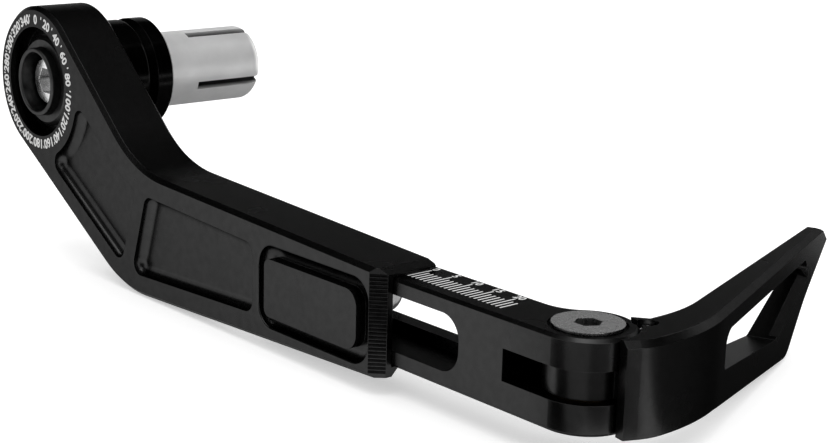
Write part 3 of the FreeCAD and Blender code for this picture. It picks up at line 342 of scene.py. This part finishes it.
def row_of_lines(tree, size):
    """Lines side by side, of which each fifth reaches further back than the rest."""
    row = tree.nodes.new("GeometryNodeMeshLine")
    tree.links.new(size["Lines"], row.inputs["Count"])
    tree.links.new(vector_of(tree, size["First"], size["Near"], size["Face"]), row.inputs["Start Location"])
    tree.links.new(vector_of(tree, size["Step"], 0.0, 0.0), row.inputs["Offset"])
    depth = arithmetic(tree, "MULTIPLY", size["Relief"], 2)
    line = block(tree, size["Width"], size["Length"], depth)
    line = moved(tree, line, vector_of(tree, 0.0, arithmetic(tree, "DIVIDE", size["Length"], 2), 0.0))
    index = tree.nodes.new("GeometryNodeInputIndex").outputs["Index"]
    past_fifth = arithmetic(tree, "MODULO", index, size["Long Each"])
    is_long = arithmetic(tree, "LESS_THAN", past_fifth, 0.5)
    extra = arithmetic(tree, "MULTIPLY", is_long, arithmetic(tree, "SUBTRACT", size["Long Ratio"], 1))
    stretch = vector_of(tree, 1.0, arithmetic(tree, "ADD", extra, 1), 1.0)
    return placed_on(tree, row.outputs["Mesh"], line, scale=stretch)


slider_lines = grown_by_rule("slider_scale_lines", {
    "Lines": scale_lines, "Long Each": scale_fifth, "First": scale_first, "Step": scale_step,
    "Near": scale_near, "Face": slider_top, "Length": scale_short, "Long Ratio": scale_long_ratio,
    "Width": scale_line_width, "Relief": mark_relief}, row_of_lines, etched)
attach(slider_lines, "slider")

scale_labels = []
number_y = scale_near + scale_short * scale_long_ratio + scale_number_gap + scale_number_height / 2
for number in range(0, scale_lines, scale_fifth):
    place = Matrix.Translation((scale_first + number * scale_step, number_y, slider_top))
    scale_labels.append((str(number), scale_number_height, scale_number_weight, place))
slider_numbers = engraved_numbers("slider_scale_numbers", scale_labels, etched)
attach(slider_numbers, "slider")


# Tool lines on the arm's open end
# The cutter that took off the front corner left fine level steps across it,
# proudest at the top and fading towards the bottom.
step_count = 26
step_pitch = 0.00066
step_proud = 0.00006
step_height = 0.00054
step_fade = 0.75
step_sides = 8
step_width_share = 0.96
# The cut corner's steps are a black far darker than the satin body: painted shade.
corner_shade_dark = (0.005, 0.005, 0.005, 1.0)
corner_shade_light = (0.009, 0.009, 0.009, 1.0)
corner_cut = 0.0022
corner_top = -0.01585
arm_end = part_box("arm")[1].x


def stack_of_steps(tree, size):
    """Flattened rods across the cut corner, one below the other."""
    row = tree.nodes.new("GeometryNodeMeshLine")
    tree.links.new(size["Steps"], row.inputs["Count"])
    tree.links.new(vector_of(tree, size["X"], size["Y"], size["Top"]), row.inputs["Start Location"])
    drop = arithmetic(tree, "MULTIPLY", size["Pitch"], -1)
    tree.links.new(vector_of(tree, 0.0, 0.0, drop), row.inputs["Offset"])
    rod = tree.nodes.new("GeometryNodeMeshCylinder")
    tree.links.new(size["Sides"], rod.inputs["Vertices"])
    tree.links.new(size["Height"], rod.inputs["Radius"])
    tree.links.new(size["Width"], rod.inputs["Depth"])
    laid = moved(tree, rod.outputs["Mesh"], vector_of(tree, 0.0, 0.0, 0.0), (0.0, math.pi / 2, 0.0))
    index = tree.nodes.new("GeometryNodeInputIndex").outputs["Index"]
    gone = arithmetic(tree, "DIVIDE", arithmetic(tree, "MULTIPLY", index, size["Fade"]), size["Steps"])
    left = arithmetic(tree, "SUBTRACT", 1, gone)
    flat = arithmetic(tree, "MULTIPLY", left, arithmetic(tree, "DIVIDE", size["Proud"], size["Height"]))
    across = vector_of(tree, 0.0, 0.0, math.pi / 4)
    return placed_on(tree, row.outputs["Mesh"], laid, across, vector_of(tree, 1.0, flat, 1.0))


# Painted shade: the steps get the darker black of the cut corner.
corner_shade_black, tree, surface = anodised_black("cut_corner_painted_shade", corner_shade_dark, corner_shade_light)
end_steps = grown_by_rule("arm_end_tool_lines", {
    "Steps": step_count, "Sides": step_sides, "X": arm_end - corner_cut / 2, "Y": arm_front + corner_cut / 2,
    "Top": corner_top, "Pitch": step_pitch, "Height": step_height / 2, "Proud": step_proud,
    "Fade": step_fade, "Width": corner_cut * math.sqrt(2) * step_width_share}, stack_of_steps, corner_shade_black)
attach(end_steps, "arm")


# Turned black rings
# Spacer and flange are turned on a lathe and anodised without blasting, so the
# tool's rings stay faintly in the gloss. Bushing and bolt cup are duller.
gloss_dark = (0.010, 0.010, 0.010, 1.0)
gloss_light = (0.014, 0.014, 0.014, 1.0)
gloss_rough = (0.14, 0.22)
dull_dark = (0.046, 0.046, 0.046, 1.0)
dull_light = (0.056, 0.056, 0.056, 1.0)
dull_rough = (0.36, 0.42)
turned_grazing = (0.5, 0.5, 0.5, 1.0)
turned_pitch = 2600.0
turned_depth = 0.000002
turned_stretch = (0.15, 1.0, 0.15)


def turned_rings(tree, scale):
    """Noise drawn out across the bar's axis, into fine rings round it."""
    return object_noise(tree, scale, detail=2.0, stretch=turned_stretch)


for finish, dark, light, rough, pieces in (
        ("gloss_black_anodised", gloss_dark, gloss_light, gloss_rough, ("spacer_ring", "end_flange")),
        ("dull_black_anodised", dull_dark, dull_light, dull_rough, ("boss_bushing", "bolt_cup"))):
    turned_black, tree, surface = new_material(finish)
    surface.inputs["Metallic"].default_value = 1.0
    surface.inputs["Specular Tint"].default_value = turned_grazing
    between_colours(tree, object_noise(tree, satin_patch), dark, light, surface.inputs["Base Color"])
    rings = turned_rings(tree, turned_pitch)
    between_values(tree, rings, rough, surface.inputs["Roughness"])
    tree.links.new(broken_edge(tree, rings, turned_depth), surface.inputs["Normal"])
    finish_pieces(pieces, turned_black)


# Bare aluminium expander
# The slotted sleeve is turned, etched and left bare: pale and half dull, with
# fine tool rings and a few patches from handling. Its bore and the walls of its
# slots get painted shade: a dark colour within a radius of the bar's axis.
bare_dull = (0.84, 0.84, 0.84, 1.0)
bare_bright = (0.94, 0.94, 0.94, 1.0)
bare_metal = 0.68
bare_patch = 120.0
bare_pitch = 5200.0
bare_rough = (0.36, 0.44)
bare_depth = 0.0000012
# Painted shade: the bore and the slot walls are darkened towards this colour.
bore_shade_colour = (0.02, 0.02, 0.02, 1.0)
bore_shade_radii = (0.0066, 0.0078)


def distance_from_bar_axis(tree):
    place = tree.nodes.new("ShaderNodeTexCoord")
    across = tree.nodes.new("ShaderNodeVectorMath")
    across.operation = "MULTIPLY"
    across.inputs[1].default_value = (1.0, 0.0, 1.0)
    tree.links.new(place.outputs["Object"], across.inputs[0])
    radius = tree.nodes.new("ShaderNodeVectorMath")
    radius.operation = "LENGTH"
    tree.links.new(across.outputs["Vector"], radius.inputs[0])
    return radius.outputs["Value"]


def colour_sockets(mix):
    """A mix node's factor, two colours and result, among its sockets for other kinds of value."""
    sockets = {socket.identifier: socket for socket in (*mix.inputs, *mix.outputs)}
    return [sockets[key] for key in ("Factor_Float", "A_Color", "B_Color", "Result_Color")]


bare_aluminium, tree, surface = new_material("bare_turned_aluminium")
surface.inputs["Metallic"].default_value = bare_metal
# Painted shade: nearer the axis than the outer radius the colour goes dark, darkest in the bore and slot
# walls.
bore_shade = tree.nodes.new("ShaderNodeMix")
bore_shade.data_type = "RGBA"
out_of_shade, shaded, unshaded, colour = colour_sockets(bore_shade)
shaded.default_value = bore_shade_colour
between_colours(tree, object_noise(tree, bare_patch), bare_dull, bare_bright, unshaded)
between_values(tree, distance_from_bar_axis(tree), (0.0, 1.0), out_of_shade, bore_shade_radii)
tree.links.new(colour, surface.inputs["Base Color"])
rings = turned_rings(tree, bare_pitch)
between_values(tree, rings, bare_rough, surface.inputs["Roughness"])
tree.links.new(broken_edge(tree, rings, bare_depth), surface.inputs["Normal"])
finish_pieces(("collet",), bare_aluminium)


# Steel fasteners
# Wedge nut, pivot screw and nut, clamp screws, washers and detent spring are
# plain stainless steel with a fine brushed grain. The bolt is bright plated and
# the detent ball is polished.
steel_dark = (0.27, 0.27, 0.27, 1.0)
steel_light = (0.31, 0.31, 0.31, 1.0)
steel_rough = (0.24, 0.30)
steel_patch = 900.0
steel_brush = 3000.0
steel_brush_stretch = (1.0, 0.12, 1.0)
steel_brush_depth = 0.0000003
plated_dark = (0.64, 0.64, 0.64, 1.0)
plated_light = (0.74, 0.74, 0.74, 1.0)
plated_rough = (0.18, 0.24)
ball_dark = (0.70, 0.70, 0.70, 1.0)
ball_light = (0.78, 0.78, 0.78, 1.0)
ball_rough = (0.10, 0.14)
for finish, dark, light, rough, pieces in (
        ("stainless_steel", steel_dark, steel_light, steel_rough,
         ("cone_nut", "bolt_washer", "pivot_screw", "pivot_nut", "clamp_screw_inner", "clamp_screw_outer",
          "clamp_washer_inner", "clamp_washer_outer", "detent_spring")),
        ("bright_plated_steel", plated_dark, plated_light, plated_rough, ("plug_bolt",)),
        ("polished_ball_steel", ball_dark, ball_light, ball_rough, ("detent_ball",))):
    steel, tree, surface = new_material(finish)
    surface.inputs["Metallic"].default_value = 1.0
    brushed = object_noise(tree, steel_brush, stretch=steel_brush_stretch)
    between_colours(tree, brushed, dark, light, surface.inputs["Base Color"])
    between_values(tree, object_noise(tree, steel_patch), rough, surface.inputs["Roughness"])
    tree.links.new(broken_edge(tree, brushed, steel_brush_depth), surface.inputs["Normal"])
    finish_pieces(pieces, steel)


# Bronze bush and thrust washers
# They carry the tip's tongue between the ears: sintered bronze, dull brown
# with dark pores.
pore_dark = (0.20, 0.13, 0.06, 1.0)
bronze_brown = (0.50, 0.34, 0.17, 1.0)
bronze_pores = 6000.0
bronze_rough = (0.55, 0.35)
bronze, tree, surface = new_material("sintered_bronze")
surface.inputs["Metallic"].default_value = 1.0
pores = object_noise(tree, bronze_pores)
between_colours(tree, pores, pore_dark, bronze_brown, surface.inputs["Base Color"])
between_values(tree, pores, bronze_rough, surface.inputs["Roughness"])
finish_pieces(("pivot_bush", "thrust_washer_upper", "thrust_washer_lower"), bronze)


# Floor and light
# The guard lies on a pale table under a large soft lamp, with a long one behind
# it and a weak one beyond the tip. Table and backdrop look brighter than the
# light that they give.
table_colour = (0.80, 0.80, 0.80, 1.0)
table_half = 4.0
table_gap = 0.0002
table_lift = 0.45
table_z = cad_box[0][2] - table_gap
matt_rough = 0.9
world_white = (1.0, 1.0, 1.0, 1.0)
world_light = 0.75
unit_square = ((-1, -1), (1, -1), (1, 1), (-1, 1))


def matt_paint(name, colour):
    paint, tree, surface = new_material(name)
    surface.inputs["Base Color"].default_value = colour
    surface.inputs["Roughness"].default_value = matt_rough
    surface.inputs["Specular IOR Level"].default_value = 0.0
    return paint, tree, surface


def flat_sheet(name, corners, material):
    """An object with one face, in the order of its corners."""
    mesh = bpy.data.meshes.new(name)
    mesh.from_pydata(corners, [], [tuple(range(len(corners)))])
    mesh.materials.append(material)
    sheet = bpy.data.objects.new(name, mesh)
    bpy.context.scene.collection.objects.link(sheet)
    return sheet


def seen_rays(tree):
    """One for rays from the camera, a gloss or a glass, and nought for light that falls on things."""
    path = tree.nodes.new("ShaderNodeLightPath").outputs
    gloss = arithmetic(tree, "MAXIMUM", path["Is Glossy Ray"], path["Is Transmission Ray"])
    return arithmetic(tree, "MAXIMUM", path["Is Camera Ray"], gloss)


table_white, tree, surface = matt_paint("table_white", table_colour)
glow = tree.nodes.new("ShaderNodeEmission")
tree.links.new(arithmetic(tree, "MULTIPLY", seen_rays(tree), table_lift), glow.inputs["Strength"])
both = tree.nodes.new("ShaderNodeAddShader")
tree.links.new(surface.outputs["BSDF"], both.inputs[0])
tree.links.new(glow.outputs["Emission"], both.inputs[1])
tree.links.new(both.outputs["Shader"], tree.nodes["Material Output"].inputs["Surface"])
table = flat_sheet("table", [(x * table_half, y * table_half, table_z) for x, y in unit_square], table_white)

world = bpy.data.worlds.new("studio")
world.use_nodes = True
bpy.context.scene.world = world
tree = world.node_tree
backdrop = tree.nodes["Background"].inputs
backdrop["Color"].default_value = world_white
lift = arithmetic(tree, "MULTIPLY", seen_rays(tree), 1.0 - world_light)
tree.links.new(arithmetic(tree, "ADD", lift, world_light), backdrop["Strength"])

for name, place, aim, width, height, watts in (
        ("lamp_overhead", (0.0, -0.35, 1.60), (0.06, 0.0, -0.02), 1.4, 1.0, 7.0),
        ("lamp_behind", (0.05, 1.00, 1.00), (0.08, 0.0, -0.02), 1.2, 0.5, 4.0),
        ("lamp_beyond_tip", (1.40, 0.10, 0.50), (0.12, 0.02, -0.02), 0.5, 0.9, 2.5)):
    lamp_data = bpy.data.lights.new(name, "AREA")
    lamp_data.shape = "RECTANGLE"
    lamp_data.size = width
    lamp_data.size_y = height
    lamp_data.energy = watts
    lamp = bpy.data.objects.new(name, lamp_data)
    lamp.location = place
    lamp.rotation_euler = (Vector(aim) - Vector(place)).to_track_quat("-Z", "Y").to_euler()
    bpy.context.scene.collection.objects.link(lamp)

# Dark cards
# Six stand round the guard and five lie on the table, black to mid grey, where
# only a mirror sees them, so that the faces turned that way show a dark field.
card_aim = Vector((0.07, -0.01, -0.02))
card_lift = 0.0001


def dark_card(name, shade, corners):
    """A card that the camera, the lamps and the table don't see."""
    paint, tree, surface = matt_paint(name, (shade, shade, shade, 1.0))
    card = flat_sheet(name, corners, paint)
    card.visible_camera = False
    card.visible_diffuse = False
    card.visible_shadow = False


for name, shade, towards, distance, width, height in (
        ("card_above_left", 0.03, (-0.73, -0.27, 0.63), 0.9, 0.9, 0.7),
        ("card_left_behind", 0.42, (-0.73, 0.64, 0.25), 1.0, 1.1, 0.5),
        ("card_overhead", 0.05, (-0.28, 0.40, 0.80), 0.5, 0.5, 0.5),
        ("card_front_above", 0.10, (-0.20, -0.62, 0.74), 0.7, 0.5, 0.5),
        ("card_right_behind", 0.01, (0.70, 0.52, 0.49), 0.9, 1.1, 1.0),
        ("card_behind_camera", 0.02, (0.48, -0.78, 0.42), 0.9, 0.9, 0.6)):
    facing = Vector(towards).to_track_quat("Z", "Y").to_matrix()
    middle = card_aim + Vector(towards).normalized() * distance
    dark_card(name, shade, [middle + facing @ Vector((x * width / 2, y * height / 2, 0.0))
                            for x, y in unit_square])

for name, shade, places in (
        ("card_before_pivot", 0.01, ((0.140, -0.031), (0.055, -0.125), (0.132, -0.130), (0.1535, -0.031))),
        ("card_before_tip", 0.40, ((0.1535, -0.031), (0.132, -0.130), (0.270, -0.130), (0.270, -0.118),
                                   (0.1667, -0.031))),
        ("card_beside_tip", 0.12, ((0.1667, -0.031), (0.270, -0.118), (0.270, -0.005), (0.172, -0.012))),
        ("card_beyond_tip", 0.12, ((0.165, 0.0), (0.400, 0.0), (0.400, 0.30), (0.110, 0.30), (0.120, 0.06))),
        ("card_under_plug", 0.12, ((-0.08, -0.005), (0.10, -0.005), (0.10, 0.16), (-0.08, 0.16)))):
    dark_card(name, shade, [(x, y, table_z + card_lift) for x, y in places])

bpy.context.scene.view_settings.view_transform = "Standard"
